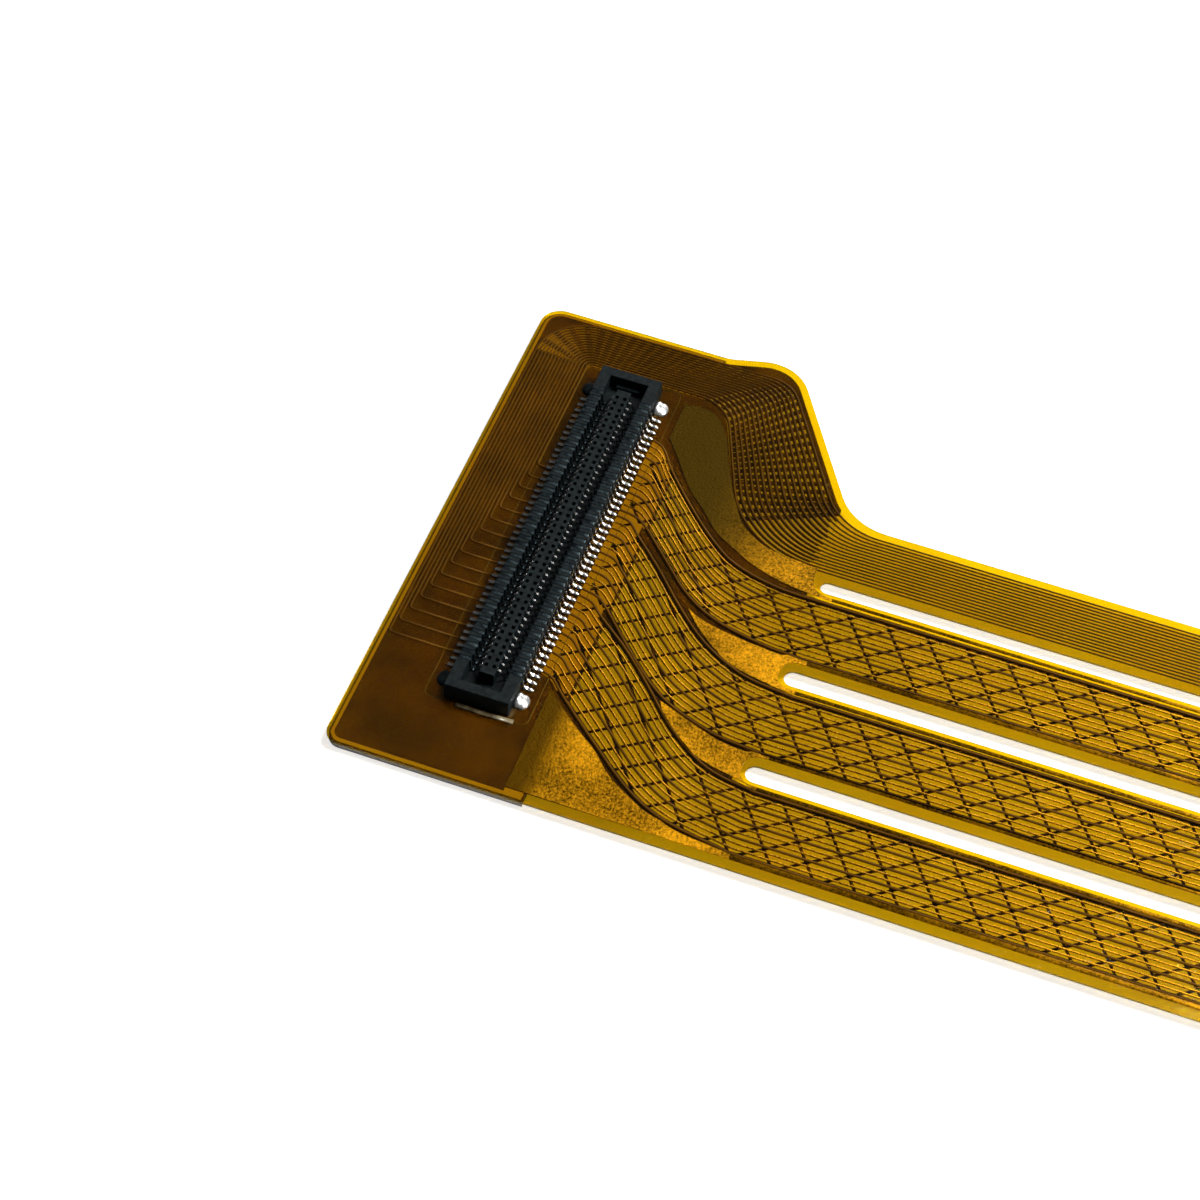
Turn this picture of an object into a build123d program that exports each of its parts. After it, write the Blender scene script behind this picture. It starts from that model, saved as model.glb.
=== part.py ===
# Flat flex cable: a two-sided flexible circuit with a stiffened head and a 0.4 mm pitch board connector at each end.
# Millimetres. X runs along the four strips, Y along the connectors, and Z up from the surface the cable lies on.
# The origin is below the middle of the cable. The far end is the near end mirrored in the YZ plane.
import math
import os

from build123d import *

# Sheet, seen from above. Each reach is measured from the near connector's centre line towards the strips.
connector_spacing = 70.0
head_back = 5.65
head_top = 14.15
head_bottom = -14.71
strip_top = 6.05
back_top_radius = 1.05
back_bottom_radius = 0.75
rise_reach = 3.9
rise_radius = 2.0
shoulder_reach = 7.15
shoulder_height = 0.95
shoulder_radius = 2.2
shoulder_slope = 59.3
neck_radius = 3.0
slot_reach = 12.25
slot_rows = [(1.88, 0.65), (-3.8, 0.85), (-9.5, 0.9)]
copper_setback = 0.35

# Layers, from the surface up
stiffener_thickness = 0.30
adhesive_thickness = 0.05
cover_thickness = 0.03
copper_thickness = 0.03
base_thickness = 0.05
stiffener_reach = 3.8
stiffener_inset = 0.1
adhesive_inset = 0.1

# Connector
contact_pitch = 0.4
contact_count = 45
housing_width = 3.04
housing_height = 0.9
housing_corner = 0.12
wall_thickness = 0.56
end_wall_thickness = 0.5
floor_thickness = 0.15
island_width = 0.70
island_overrun = 0.50
island_chamfer = 0.08
pocket_length = 0.75
contact_width = 0.16
contact_thickness = 0.08
contact_dip = 0.50
foot_length = 0.50
seat_clearance = 0.1
tab_length = 0.8
tab_thickness = 0.1
tab_height = 0.35
tab_gap = 0.3

# Copper lines of strips 2 to 4: guard, signal, signal, guard and so on. Turns are set back from the slots' roots.
bundle_lines = 13
line_pitch = 0.30
signal_width = 0.10
guard_width = 0.16
first_pin = 3
pins_per_bundle = 13
trace_gap = 0.05
neck_reach = 2.7
turn_setbacks = [(4.50, 4.00), (2.95, 3.75), (1.95, 3.20)]
turn_cut = 2.2
bundle_clearance = 0.36

# Copper lines of strip 1, from the back of the connector round the head
edge_lines = 16
edge_line_width = 0.10
edge_line_pitch = 0.19
edge_margin = 0.10
edge_last_pin = 42
edge_pin_step = 2
edge_column_pitch = 0.18
edge_row_pitch = 0.165
edge_top_reaches = (7.25, 4.70)
edge_low_reaches = (12.05, 8.00)
edge_cut_share = 0.6
edge_low_cut = 1.15

# Ground copper under the film
ground_reach = 11.8
mesh_pitch = 4.6
mesh_line = 0.45

# Heights and places that follow from the sizes above
near_x = -connector_spacing / 2
adhesive_base = stiffener_thickness
cover_base = adhesive_base + adhesive_thickness
ground_base = cover_base + cover_thickness
film_base = ground_base + copper_thickness
film_top = film_base + base_thickness
housing_top = film_top + housing_height
row_half = contact_pitch * (contact_count - 1) / 2
island_half = row_half + island_overrun
housing_half = island_half + pocket_length + end_wall_thickness
wall_outside = near_x + housing_width / 2
wall_inside = wall_outside - wall_thickness
slot_end = near_x + slot_reach

# Each strip lies between two edges, from the top of the sheet down
strip_edges = [strip_top]
for slot_y, slot_width in slot_rows:
    strip_edges += [slot_y + slot_width / 2, slot_y - slot_width / 2]
strip_edges.append(head_bottom)
strip_middles = [(high + low) / 2 for high, low in zip(strip_edges[::2], strip_edges[1::2])]


def pin_y(number):
    """Where a contact stands along its row, counted from the top."""
    return row_half - contact_pitch * number


def between(pair, share):
    """A value part of the way from the first of a pair to the second."""
    return pair[0] + share * (pair[1] - pair[0])


def cut_corner(before, corner, after, cut):
    """The two ends of the short side that replaces a corner."""
    ends = []
    for other in (before, after):
        share = min(cut / math.dist(corner, other), 0.45)
        ends.append((between((corner[0], other[0]), share), between((corner[1], other[1]), share)))
    return ends


def bundle_route(bundle, line):
    """Near half of a copper line in strip 2, 3 or 4: out of its pin, down the slope and along the strip."""
    share = line / (bundle_lines - 1)
    level = strip_middles[bundle + 1] + line_pitch * ((bundle_lines - 1) / 2 - line)
    start_y = pin_y(first_pin + bundle * pins_per_bundle + line)
    start = (wall_outside + foot_length + trace_gap, start_y)
    neck = (near_x + neck_reach, start_y)
    turn = (slot_end - between(turn_setbacks[bundle], share), level)
    middle = (0, level)
    return [start, neck, *cut_corner(neck, turn, middle, turn_cut), middle]


def edge_route(line):
    """Near half of a copper line in strip 1: back from its pin, round the head, over the shoulder and down."""
    share = line / (edge_lines - 1)
    start_y = pin_y(edge_last_pin - edge_pin_step * line)
    column = near_x - head_back + copper_setback + edge_margin + edge_column_pitch * line
    row = head_top - copper_setback - edge_margin - edge_row_pitch * line
    level = strip_top - copper_setback - edge_margin - edge_line_pitch * line
    start = (near_x - housing_width / 2 - foot_length - trace_gap, start_y)
    foot = (column, start_y)
    corner = (column, row)
    top = (near_x + between(edge_top_reaches, share), row)
    low = (near_x + between(edge_low_reaches, share), level)
    middle = (0, level)
    corner_cut = edge_cut_share * edge_column_pitch * (edge_lines - line)
    return [
        start,
        foot,
        *cut_corner(foot, corner, top, corner_cut),
        top,
        *cut_corner(top, low, middle, edge_low_cut * (1 + share)),
        middle,
    ]


def save(part, name):
    """Name a finished piece and write it."""
    part.label = name
    export_step(part, f"parts/{name}.step")


def both_ends(part, name):
    """Write a piece of the near end, and its mirror image at the far end."""
    save(part, f"near_{name}")
    save(mirror(part, about=Plane.YZ, mode=Mode.PRIVATE), f"far_{name}")


def copper_lines(routes, width):
    """Full-length copper lines on top of the film, from their near halves."""
    with BuildPart() as lines:
        for near_half in routes:
            far_half = [(-x, y) for x, y in reversed(near_half[:-1])]
            with BuildSketch(Plane.XY.offset(film_top)):
                with BuildLine():
                    Polyline(*near_half[:-1], *far_half)
                trace(line_width=width)
        extrude(amount=copper_thickness)
    return lines.part


os.makedirs("parts", exist_ok=True)

# Outline of the sheet: the head, the shoulder that rises over it, and four strips parted by three slots
neck_corner = near_x + shoulder_reach + (head_top + shoulder_height - strip_top) / math.tan(
    math.radians(shoulder_slope)
)
with BuildSketch() as sheet:
    with BuildLine():
        near_half = FilletPolyline(
            (0, strip_top),
            (neck_corner, strip_top),
            (near_x + shoulder_reach, head_top + shoulder_height),
            (near_x + rise_reach, head_top),
            (near_x - head_back, head_top),
            (near_x - head_back, head_bottom),
            (0, head_bottom),
            radius=[neck_radius, shoulder_radius, rise_radius, back_top_radius, back_bottom_radius],
        )
        mirror(near_half, about=Plane.YZ)
    make_face()
    for slot_y, slot_width in slot_rows:
        with Locations((0, slot_y)):
            SlotOverall(-2 * slot_end, slot_width, mode=Mode.SUBTRACT)

# Copper keeps back from every edge of the sheet
with BuildSketch() as copper_area:
    add(sheet.sketch)
    offset(amount=-copper_setback)

# Base film, with a cover film that closes the underside
for name, base, thickness in [
    ("base_film", film_base, base_thickness),
    ("bottom_cover_film", cover_base, cover_thickness),
]:
    with BuildPart() as film:
        with BuildSketch(Plane.XY.offset(base)):
            add(sheet.sketch)
        extrude(amount=thickness)
    save(film.part, name)

# Stiffener plate and its adhesive under each head
for name, base, thickness, inset in [
    ("stiffener", 0, stiffener_thickness, stiffener_inset),
    ("adhesive", adhesive_base, adhesive_thickness, stiffener_inset + adhesive_inset),
]:
    with BuildPart() as plate:
        with BuildSketch(Plane.XY.offset(base)):
            add(sheet.sketch)
            offset(amount=-inset)
            with Locations((near_x + stiffener_reach - inset, 0)):
                Rectangle(
                    head_back + stiffener_reach,
                    4 * head_top,
                    align=(Align.MAX, Align.CENTER),
                    mode=Mode.INTERSECT,
                )
        extrude(amount=thickness)
    both_ends(plate.part, name)

# Ground plane under each head, solid copper
with BuildPart() as ground_plane:
    with BuildSketch(Plane.XY.offset(ground_base)):
        add(copper_area.sketch)
        with Locations((near_x + ground_reach, 0)):
            Rectangle(head_back + ground_reach, 4 * head_top, align=(Align.MAX, Align.CENTER), mode=Mode.INTERSECT)
    extrude(amount=copper_thickness)
both_ends(ground_plane.part, "ground_plane")

# Ground mesh under strips 2 to 4, a diamond lattice that joins both ground planes
mesh_length = -2 * (near_x + ground_reach)
mesh_width = line_pitch * (bundle_lines - 1) + guard_width
mesh_columns = int((mesh_length - 2 * mesh_line) / mesh_pitch)
for strip, middle in enumerate(strip_middles[1:], start=2):
    with BuildPart() as mesh:
        with BuildSketch(Plane.XY.offset(ground_base)):
            with Locations((0, middle)):
                Rectangle(mesh_length, mesh_width)
                with GridLocations(mesh_pitch, 1, mesh_columns, 1):
                    reach = (mesh_pitch - mesh_line) / 2
                    rise = (mesh_width - mesh_line) / 2
                    Polygon((reach, 0), (0, rise), (-reach, 0), (0, -rise), mode=Mode.SUBTRACT)
        extrude(amount=copper_thickness)
    save(mesh.part, f"ground_mesh_strip_{strip}")

# Copper lines on top of the film
save(copper_lines([edge_route(line) for line in range(edge_lines)], edge_line_width), "lines_strip_1")
for bundle in range(3):
    signals = [bundle_route(bundle, line) for line in range(bundle_lines) if line % 3]
    guards = [bundle_route(bundle, line) for line in range(0, bundle_lines, 3)]
    save(copper_lines(signals, signal_width), f"signals_strip_{bundle + 2}")
    save(copper_lines(guards, guard_width), f"guards_strip_{bundle + 2}")

# Copper lands between the bundles, each ending at the root of a slot
edge_side = edge_route(edge_lines - 1)
firsts = [bundle_route(bundle, 0) for bundle in range(3)]
lasts = [bundle_route(bundle, bundle_lines - 1) for bundle in range(3)]
neck_x = near_x + neck_reach
land_outlines = [
    [*firsts[0][1:], *edge_side[:3:-1], (neck_x, edge_side[4][1])],
    [*lasts[2][1:], (0, head_bottom), (neck_x, head_bottom)],
]
for above, below in zip(lasts, firsts[1:]):
    land_outlines.append([*above[2:], *below[:1:-1]])
with BuildPart() as lands:
    with BuildSketch(Plane.XY.offset(film_top)):
        for outline in land_outlines:
            with BuildLine():
                Polyline(*outline, close=True)
            make_face()
        for route in [edge_side, *firsts, *lasts]:
            with BuildLine():
                Polyline(*route)
            trace(line_width=2 * bundle_clearance, mode=Mode.SUBTRACT)
        with Locations((slot_end, 0)):
            Rectangle(head_back + slot_reach, 4 * head_top, align=(Align.MAX, Align.CENTER), mode=Mode.INTERSECT)
        add(copper_area.sketch, mode=Mode.INTERSECT)
    extrude(amount=copper_thickness)
both_ends(lands.part, "lands")

# Connector housing: a moulded frame with a groove round a centre island and an open pocket at each end
seat_length = 2 * row_half + contact_width + 2 * seat_clearance
with BuildPart() as housing:
    with BuildSketch(Plane.XY.offset(film_top)):
        with Locations((near_x, 0)):
            RectangleRounded(housing_width, 2 * housing_half, housing_corner)
    extrude(amount=housing_height)
    with BuildSketch(Plane.XY.offset(film_top + floor_thickness)):
        with Locations((near_x, 0)):
            Rectangle(housing_width - 2 * wall_thickness, 2 * (housing_half - end_wall_thickness))
            Rectangle(island_width, 2 * island_half, mode=Mode.SUBTRACT)
    extrude(amount=housing_height, mode=Mode.SUBTRACT)
    island_top = housing.faces().filter_by(Axis.Z).sort_by(Axis.Z)[-2:].sort_by(SortBy.AREA)[0]
    chamfer(island_top.outer_wire().edges(), length=island_chamfer)
    # Shallow seats for the contacts, over the top of both long walls and down their outside
    with BuildSketch(Plane.XY.offset(housing_top - contact_thickness)):
        with Locations((near_x, 0)):
            Rectangle(housing_width, seat_length)
            Rectangle(housing_width - 2 * wall_thickness, seat_length, mode=Mode.SUBTRACT)
    extrude(amount=contact_thickness, mode=Mode.SUBTRACT)
    with BuildSketch(Plane.XY.offset(film_top)):
        with Locations((near_x, 0)):
            Rectangle(housing_width, seat_length)
            Rectangle(housing_width - 2 * contact_thickness, seat_length, mode=Mode.SUBTRACT)
    extrude(amount=housing_height, mode=Mode.SUBTRACT)
both_ends(housing.part, "housing")

# Contacts: a bent strip each, from its foot up the outside of the wall, over the top and down into the groove
contact_outline = [
    (wall_outside + foot_length, film_top),
    (wall_outside + foot_length, film_top + contact_thickness),
    (wall_outside, film_top + contact_thickness),
    (wall_outside, housing_top),
    (wall_inside - contact_thickness, housing_top),
    (wall_inside - contact_thickness, housing_top - contact_dip),
    (wall_inside, housing_top - contact_dip),
    (wall_inside, housing_top - contact_thickness),
    (wall_outside - contact_thickness, housing_top - contact_thickness),
    (wall_outside - contact_thickness, film_top),
]
with BuildPart() as front_contacts:
    with BuildSketch(*[Plane.XZ.offset(-pin_y(number)) for number in range(contact_count)]):
        with BuildLine():
            Polyline(*contact_outline, close=True)
        make_face()
    extrude(amount=contact_width / 2, both=True)
both_ends(front_contacts.part, "front_contacts")
centre_plane = Plane.YZ.offset(near_x)
both_ends(mirror(front_contacts.part, about=centre_plane, mode=Mode.PRIVATE), "back_contacts")

# Hold-down tabs at the four corners of the housing, each an angle soldered to the film
tab_outline = [
    (wall_outside, film_top),
    (wall_outside + foot_length, film_top),
    (wall_outside + foot_length, film_top + tab_thickness),
    (wall_outside + tab_thickness, film_top + tab_thickness),
    (wall_outside + tab_thickness, film_top + tab_height),
    (wall_outside, film_top + tab_height),
]
tab_y = row_half + tab_gap + contact_width / 2 + tab_length / 2
with BuildPart() as tabs:
    with BuildSketch(Plane.XZ.offset(tab_y), Plane.XZ.offset(-tab_y)):
        with BuildLine():
            Polyline(*tab_outline, close=True)
        make_face()
    extrude(amount=tab_length / 2, both=True)
    mirror(about=centre_plane)
both_ends(tabs.part, "hold_downs")
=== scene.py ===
# %% [markdown]
# # A flat flex cable, dressed for the camera
# The cable is a sandwich of amber films with copper between them. Both of its ends carry a stiffening
# plate and a moulded receptacle with two rows of sprung contacts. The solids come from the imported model.
# This file gives them their finish and draws what is too fine for solids: curved copper lines, the
# slanting ground lattice, solder, springs and the sockets of the housing.

import math

import bmesh
import bpy
from mathutils import Matrix, Vector
from mathutils.geometry import intersect_line_line_2d


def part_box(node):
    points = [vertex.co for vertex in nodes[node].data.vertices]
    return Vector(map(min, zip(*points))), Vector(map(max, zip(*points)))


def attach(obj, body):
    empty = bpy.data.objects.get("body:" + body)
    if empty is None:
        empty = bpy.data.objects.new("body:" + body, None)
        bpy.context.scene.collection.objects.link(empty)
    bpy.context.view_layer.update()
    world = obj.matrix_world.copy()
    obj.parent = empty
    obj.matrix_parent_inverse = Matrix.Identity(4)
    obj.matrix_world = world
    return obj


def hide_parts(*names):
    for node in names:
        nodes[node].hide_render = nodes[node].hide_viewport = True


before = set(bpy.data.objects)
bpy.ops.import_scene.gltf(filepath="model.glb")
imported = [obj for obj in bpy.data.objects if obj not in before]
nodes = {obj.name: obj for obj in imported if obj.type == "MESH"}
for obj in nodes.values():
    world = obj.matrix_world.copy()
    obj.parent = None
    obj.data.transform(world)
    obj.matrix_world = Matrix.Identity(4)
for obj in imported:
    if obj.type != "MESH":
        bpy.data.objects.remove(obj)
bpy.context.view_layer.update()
MM = 0.001

# %% [markdown]
# ## One ruler for everything
# All places are in millimetres in the cable's own frame and are scaled to metres when a mesh is made.
# Heights are read from the solids, so every drawn piece lies on the real layer that carries it.
# `u` is a distance from the near connector's centre line towards the strips.

# %% Heights and the connector's centre line
near_x = sum(corner.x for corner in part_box("near_housing")) / 2 / MM
film_low, film_top = (corner.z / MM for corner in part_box("base_film"))
ground_low, ground_top = (corner.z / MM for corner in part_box("near_ground_plane"))
copper_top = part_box("near_lands")[1].z / MM
housing_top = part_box("near_housing")[1].z / MM
HAIR = 0.002
line_base = film_top + HAIR / 2
mesh_base, mesh_top = ground_low + HAIR, ground_top - HAIR
print("near_x", near_x, "film", film_low, film_top, "copper", copper_top, "housing", housing_top)

# %% [markdown]
# ## Lines that turn in arcs
# A copper line on a flexible circuit never has a sharp corner, because copper cracks where a bend meets
# a corner. Two helpers make such routes. `rounded` puts an arc of a chosen radius in each corner, as a
# draughtsman does. `flowing` draws one smooth line through measured points, for the fan behind the pins.


# %% Routes
def rounded(points, radii, steps):
    """A line through points, with an arc of its own radius in each inner corner."""
    points = [Vector(p) for p in points]
    route = [points[0]]
    for before, corner, after, radius in zip(points, points[1:], points[2:], radii):
        back, on = (before - corner).normalized(), (after - corner).normalized()
        half = back.angle(on) / 2
        reach = min(radius / math.tan(half), 0.48 * min((before - corner).length, (after - corner).length))
        radius = reach * math.tan(half)
        centre = corner + (back + on).normalized() * radius / math.sin(half)
        start, end = corner + back * reach - centre, corner + on * reach - centre
        turn = start.angle_signed(end)
        for k in range(steps + 1):
            route.append(centre + Matrix.Rotation(-turn * k / steps, 2) @ start)
    return route + [points[-1]]


def flowing(points, steps=7):
    """A smooth line through all the points."""
    points = [Vector(p) for p in points]
    padded = [2 * points[0] - points[1], *points, 2 * points[-1] - points[-2]]
    route = []
    for a, b, c, d in zip(padded, padded[1:], padded[2:], padded[3:]):
        for k in range(steps):
            t = k / steps
            route.append(
                0.5 * (2 * b + (c - a) * t + (2 * a - 5 * b + 4 * c - d) * t**2 + (3 * b - a - 3 * c + d) * t**3)
            )
    return route + [points[-1]]


def blend(first, last, share):
    """The route that lies between two others with as many points."""
    return [a.lerp(b, share) for a, b in zip(first, last)]


def shifted(route, distance):
    """A route moved sideways, to its left where the distance is positive."""
    out = []
    for k, point in enumerate(route):
        ahead = (route[min(k + 1, len(route) - 1)] - route[max(k - 1, 0)]).normalized()
        out.append(point + distance * Vector((-ahead.y, ahead.x)))
    return out


def stretch(route, low, high):
    """The part of a route between two places along X, cut exactly at both."""
    part = [route[0]] if low <= route[0].x <= high else []
    for a, b in zip(route, route[1:]):
        for limit in (low, high):
            if min(a.x, b.x) < limit < max(a.x, b.x):
                part.append(a.lerp(b, (limit - a.x) / (b.x - a.x)))
        if low <= b.x <= high:
            part.append(b)
    return part


def far_side(route):
    """The same route at the far end of the cable."""
    return [Vector((-p.x, p.y)) for p in reversed(route)]


# %% [markdown]
# ## Three ways to make a flat piece
# `ridges` sweeps a low profile along routes. It is flat or rounded on top, and the flanks of a rounded one
# catch the lamp as etched copper does. `plates` fills outlines, holes included, with Blender's own curve
# fill. `blocks` joins many small boxes with softened edges, for the moulded housing and its comb of ribs.


# %% Mesh helpers
def outline_of(name):
    """The rim of a node's flat top, point after point, in millimetres."""
    shape = bmesh.new()
    shape.from_mesh(nodes[name].data)
    bmesh.ops.remove_doubles(shape, verts=shape.verts[:], dist=1e-7)
    top = max(vert.co.z for vert in shape.verts)
    flat = {face for face in shape.faces if min(vert.co.z for vert in face.verts) > top - 1e-7}
    after = {}
    for edge in shape.edges:
        owners = [face for face in edge.link_faces if face in flat]
        if len(owners) == 1:
            corner = next(corner for corner in owners[0].loops if corner.edge == edge)
            after[corner.vert] = corner.link_loop_next.vert
    vert = next(iter(after))
    rim = []
    while vert in after:
        rim.append(Vector((vert.co.x, vert.co.y)) / MM)
        vert = after.pop(vert)
    shape.free()
    return rim


def piece_from(name, mesh):
    """An object of a mesh that was built in millimetres."""
    mesh.transform(Matrix.Scale(MM, 4))
    piece = bpy.data.objects.new(name, mesh)
    bpy.context.scene.collection.objects.link(piece)
    return piece


ROUND_BACK = ((1, 0), (0.7, 0.7), (0.2, 1), (-0.2, 1), (-0.7, 0.7), (-1, 0))
FLAT_BACK = ((1, 0), (0.95, 1), (-0.95, 1), (-1, 0))


def ridges(name, routes, low, high, profile=ROUND_BACK):
    """Ridges along routes, each (points, width) with one width or one per point.

    A profile gives the ridge's cross-section as pairs of a share of half its width and a share of its height.
    """
    verts, faces, last = [], [], len(profile) - 1
    for route, width in routes:
        start = len(verts)
        for k, point in enumerate(route):
            ahead = (route[min(k + 1, len(route) - 1)] - route[max(k - 1, 0)]).normalized()
            side = Vector((-ahead.y, ahead.x)) * (width[k] if isinstance(width, list) else width) / 2
            for share, rise in profile:
                place = point + share * side
                verts.append((place.x, place.y, low + rise * (high - low)))
        step = last + 1
        for k in range(start, len(verts) - step, step):
            faces += [(k + a, k + step + a, k + step + a + 1, k + a + 1) for a in range(last)]
            faces.append((k + last, k + step + last, k + step, k))
        faces += [tuple(range(start, start + step)), tuple(range(len(verts) - 1, len(verts) - 1 - step, -1))]
    mesh = bpy.data.meshes.new(name)
    mesh.from_pydata(verts, [], faces)
    mesh.shade_smooth()
    return mesh


def plates(name, outlines, low, high):
    """Filled outlines. One that lies inside another is a hole in it."""
    curve = bpy.data.curves.new(name, "CURVE")
    curve.dimensions, curve.fill_mode, curve.extrude = "2D", "BOTH", (high - low) / 2
    for outline in outlines:
        spline = curve.splines.new("POLY")
        spline.points.add(len(outline) - 1)
        for point, place in zip(spline.points, outline):
            point.co = (place[0], place[1], 0, 1)
        spline.use_cyclic_u = True
    drawn = bpy.data.objects.new(name, curve)
    mesh = bpy.data.meshes.new_from_object(drawn)
    mesh.transform(Matrix.Translation((0, 0, (low + high) / 2)))
    bpy.data.objects.remove(drawn)
    return mesh


SOFTENING = 0.012


def blocks(name, boxes):
    """Many boxes in one mesh, each (x0, x1, y0, y1, z0, z1), with softened edges."""
    shape = bmesh.new()
    for x0, x1, y0, y1, z0, z1 in boxes:
        place = Matrix.Translation(((x0 + x1) / 2, (y0 + y1) / 2, (z0 + z1) / 2))
        size = Matrix.Diagonal((abs(x1 - x0), abs(y1 - y0), abs(z1 - z0), 1))
        bmesh.ops.create_cube(shape, size=1, matrix=place @ size)
    bmesh.ops.bevel(shape, geom=shape.edges[:], offset=SOFTENING, segments=1, affect="EDGES")
    mesh = bpy.data.meshes.new(name)
    shape.to_mesh(mesh)
    shape.free()
    return mesh


def dressed(name, mesh, finishes, stands_for=()):
    """A finished piece that rides on the cable."""
    piece = piece_from(name, mesh)
    for finish in finishes if isinstance(finishes, tuple) else (finishes,):
        piece.data.materials.append(finish)
    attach(piece, "root")
    if stands_for:
        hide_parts(*stands_for)
    return piece


def both_ends(name, mesh, finishes, node=None):
    """A piece of the near end and its mirror image at the far end."""
    other = mesh.copy()
    other.transform(Matrix.Diagonal((-1, 1, 1, 1)))
    other.flip_normals()
    for end, shape in (("near", mesh), ("far", other)):
        dressed(f"{end}_{name}", shape, finishes, [f"{end}_{node}"] if node else [])
    print(name, "faces at each end:", len(mesh.polygons))


# %% [markdown]
# ## Surface effects shared by several finishes
# Rolled copper is grained, and its colour is painted lighter and darker in slow patches, as sheen and shade fall
# on a sheet that is a little uneven. Films ripple and pick up fine scuffs, and moulded or plated parts have a
# faint tooth. Each effect is one node group that puts out a colour, a roughness or a height, so that copper lines,
# lands and lattice can share it and still have values of their own.


# %% A small kit for node groups and materials
def node_group(name, inputs, outputs):
    """A new node group, with the nodes that stand for its inputs and its outputs."""
    group = bpy.data.node_groups.new(name, "ShaderNodeTree")
    for label, kind, value in inputs:
        socket = group.interface.new_socket(label, in_out="INPUT", socket_type=kind)
        socket.default_value = value
    for label, kind in outputs:
        group.interface.new_socket(label, in_out="OUTPUT", socket_type=kind)
    return group, group.nodes.new("NodeGroupInput"), group.nodes.new("NodeGroupOutput")


def add_node(tree, kind, values=(), **settings):
    """A node whose inputs get plain values, or links where the value is another node's output."""
    node = tree.nodes.new(kind)
    for name, value in settings.items():
        setattr(node, name, value)
    for socket, value in dict(values).items():
        if isinstance(value, bpy.types.NodeSocket):
            tree.links.new(value, node.inputs[socket])
        else:
            node.inputs[socket].default_value = value
    return node


def worked_out(tree, operation, *values, **settings):
    """The output of a math node."""
    return add_node(tree, "ShaderNodeMath", dict(enumerate(values)), operation=operation, **settings).outputs[0]


def noise(tree, place, scale, detail, **values):
    """The output of a noise texture."""
    sockets = {"Vector": place, "Scale": scale, "Detail": detail, **values}
    return add_node(tree, "ShaderNodeTexNoise", sockets).outputs["Fac"]


def ranged(tree, value, low, high, new_low=0.0, new_high=1.0, **settings):
    """A value carried from one range over to another."""
    sockets = {"Value": value, "From Min": low, "From Max": high, "To Min": new_low, "To Max": new_high}
    return add_node(tree, "ShaderNodeMapRange", sockets, **settings).outputs[0]


def blended(tree, share, first, last):
    """A colour between two others."""
    mix = add_node(tree, "ShaderNodeMix", data_type="RGBA")
    for socket, value in zip((0, 6, 7), (share, first, last)):
        tree.links.new(value, mix.inputs[socket])
    return mix.outputs[2]


def put_out(tree, result, **values):
    """Links to the outputs of a group."""
    for label, value in values.items():
        tree.links.new(value, result.inputs[label])


def finish_of(name, **values):
    """A new material and its Principled shader, with plain values on the shader's own sockets."""
    material = bpy.data.materials.new(name)
    material.use_nodes = True
    shader = material.node_tree.nodes["Principled BSDF"]
    for socket, value in values.items():
        shader.inputs[socket.replace("_", " ")].default_value = value
    return material, shader


def bump_from(material, height, shader, strength, distance):
    """A bump on a shader's normal."""
    bump = add_node(
        material.node_tree, "ShaderNodeBump", {"Height": height, "Strength": strength, "Distance": distance}
    )
    material.node_tree.links.new(bump.outputs["Normal"], shader.inputs["Normal"])


FLOAT, COLOUR = "NodeSocketFloat", "NodeSocketColor"
SURFACE = [("Color", COLOUR), ("Roughness", FLOAT), ("Height", FLOAT)]

# %% Copper grain and painted sheen: fine crystals, with slow patches of painted sheen and shade where the sheet is not quite flat
# "Lit From" and "Lit To" are distances from the cable's middle between which the copper goes from painted shade to
# painted sheen.
grain_and_sheen, given, result = node_group(
    "copper_grain_and_painted_sheen",
    [
        ("Dark", COLOUR, (0.1, 0.05, 0.0, 1)),
        ("Bright", COLOUR, (0.8, 0.4, 0.03, 1)),
        ("Brightness", FLOAT, 0.5),
        ("Painted Sheen", FLOAT, 0.5),
        ("Lit From", FLOAT, 0.0),
        ("Lit To", FLOAT, 0.001),
        ("Smooth", FLOAT, 0.32),
        ("Rough", FLOAT, 0.55),
        ("Specks", FLOAT, 0.5),
    ],
    SURFACE,
)
place = add_node(grain_and_sheen, "ShaderNodeTexCoord").outputs["Object"]
crystals = noise(grain_and_sheen, place, 9000.0, 3.0, Roughness=0.65)
sheen_patches = noise(grain_and_sheen, place, 420.0, 2.0)
along = add_node(grain_and_sheen, "ShaderNodeSeparateXYZ", {"Vector": place}).outputs["X"]
from_middle = worked_out(grain_and_sheen, "ABSOLUTE", along)
painted_lit = ranged(
    grain_and_sheen, from_middle, given.outputs["Lit From"], given.outputs["Lit To"], interpolation_type="SMOOTHSTEP"
)
fine = worked_out(grain_and_sheen, "MULTIPLY", ranged(grain_and_sheen, crystals, 0.3, 0.7, -0.7, 0.7), given.outputs["Specks"])
painted_sheen = worked_out(grain_and_sheen, "MULTIPLY", ranged(grain_and_sheen, sheen_patches, 0.35, 0.65, -0.5, 0.5), given.outputs["Painted Sheen"])
# The colour goes from Dark to Bright by this share: painted shade and sheen laid over the grain.
level = worked_out(grain_and_sheen, "MULTIPLY", given.outputs["Brightness"], painted_lit)
change = worked_out(grain_and_sheen, "MULTIPLY", worked_out(grain_and_sheen, "ADD", fine, painted_sheen), level)
share = worked_out(grain_and_sheen, "ADD", change, level, use_clamp=True)
put_out(
    grain_and_sheen,
    result,
    Color=blended(grain_and_sheen, share, given.outputs["Dark"], given.outputs["Bright"]),
    Roughness=ranged(grain_and_sheen, crystals, 0.3, 0.7, given.outputs["Smooth"], given.outputs["Rough"]),
    Height=crystals,
)

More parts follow.
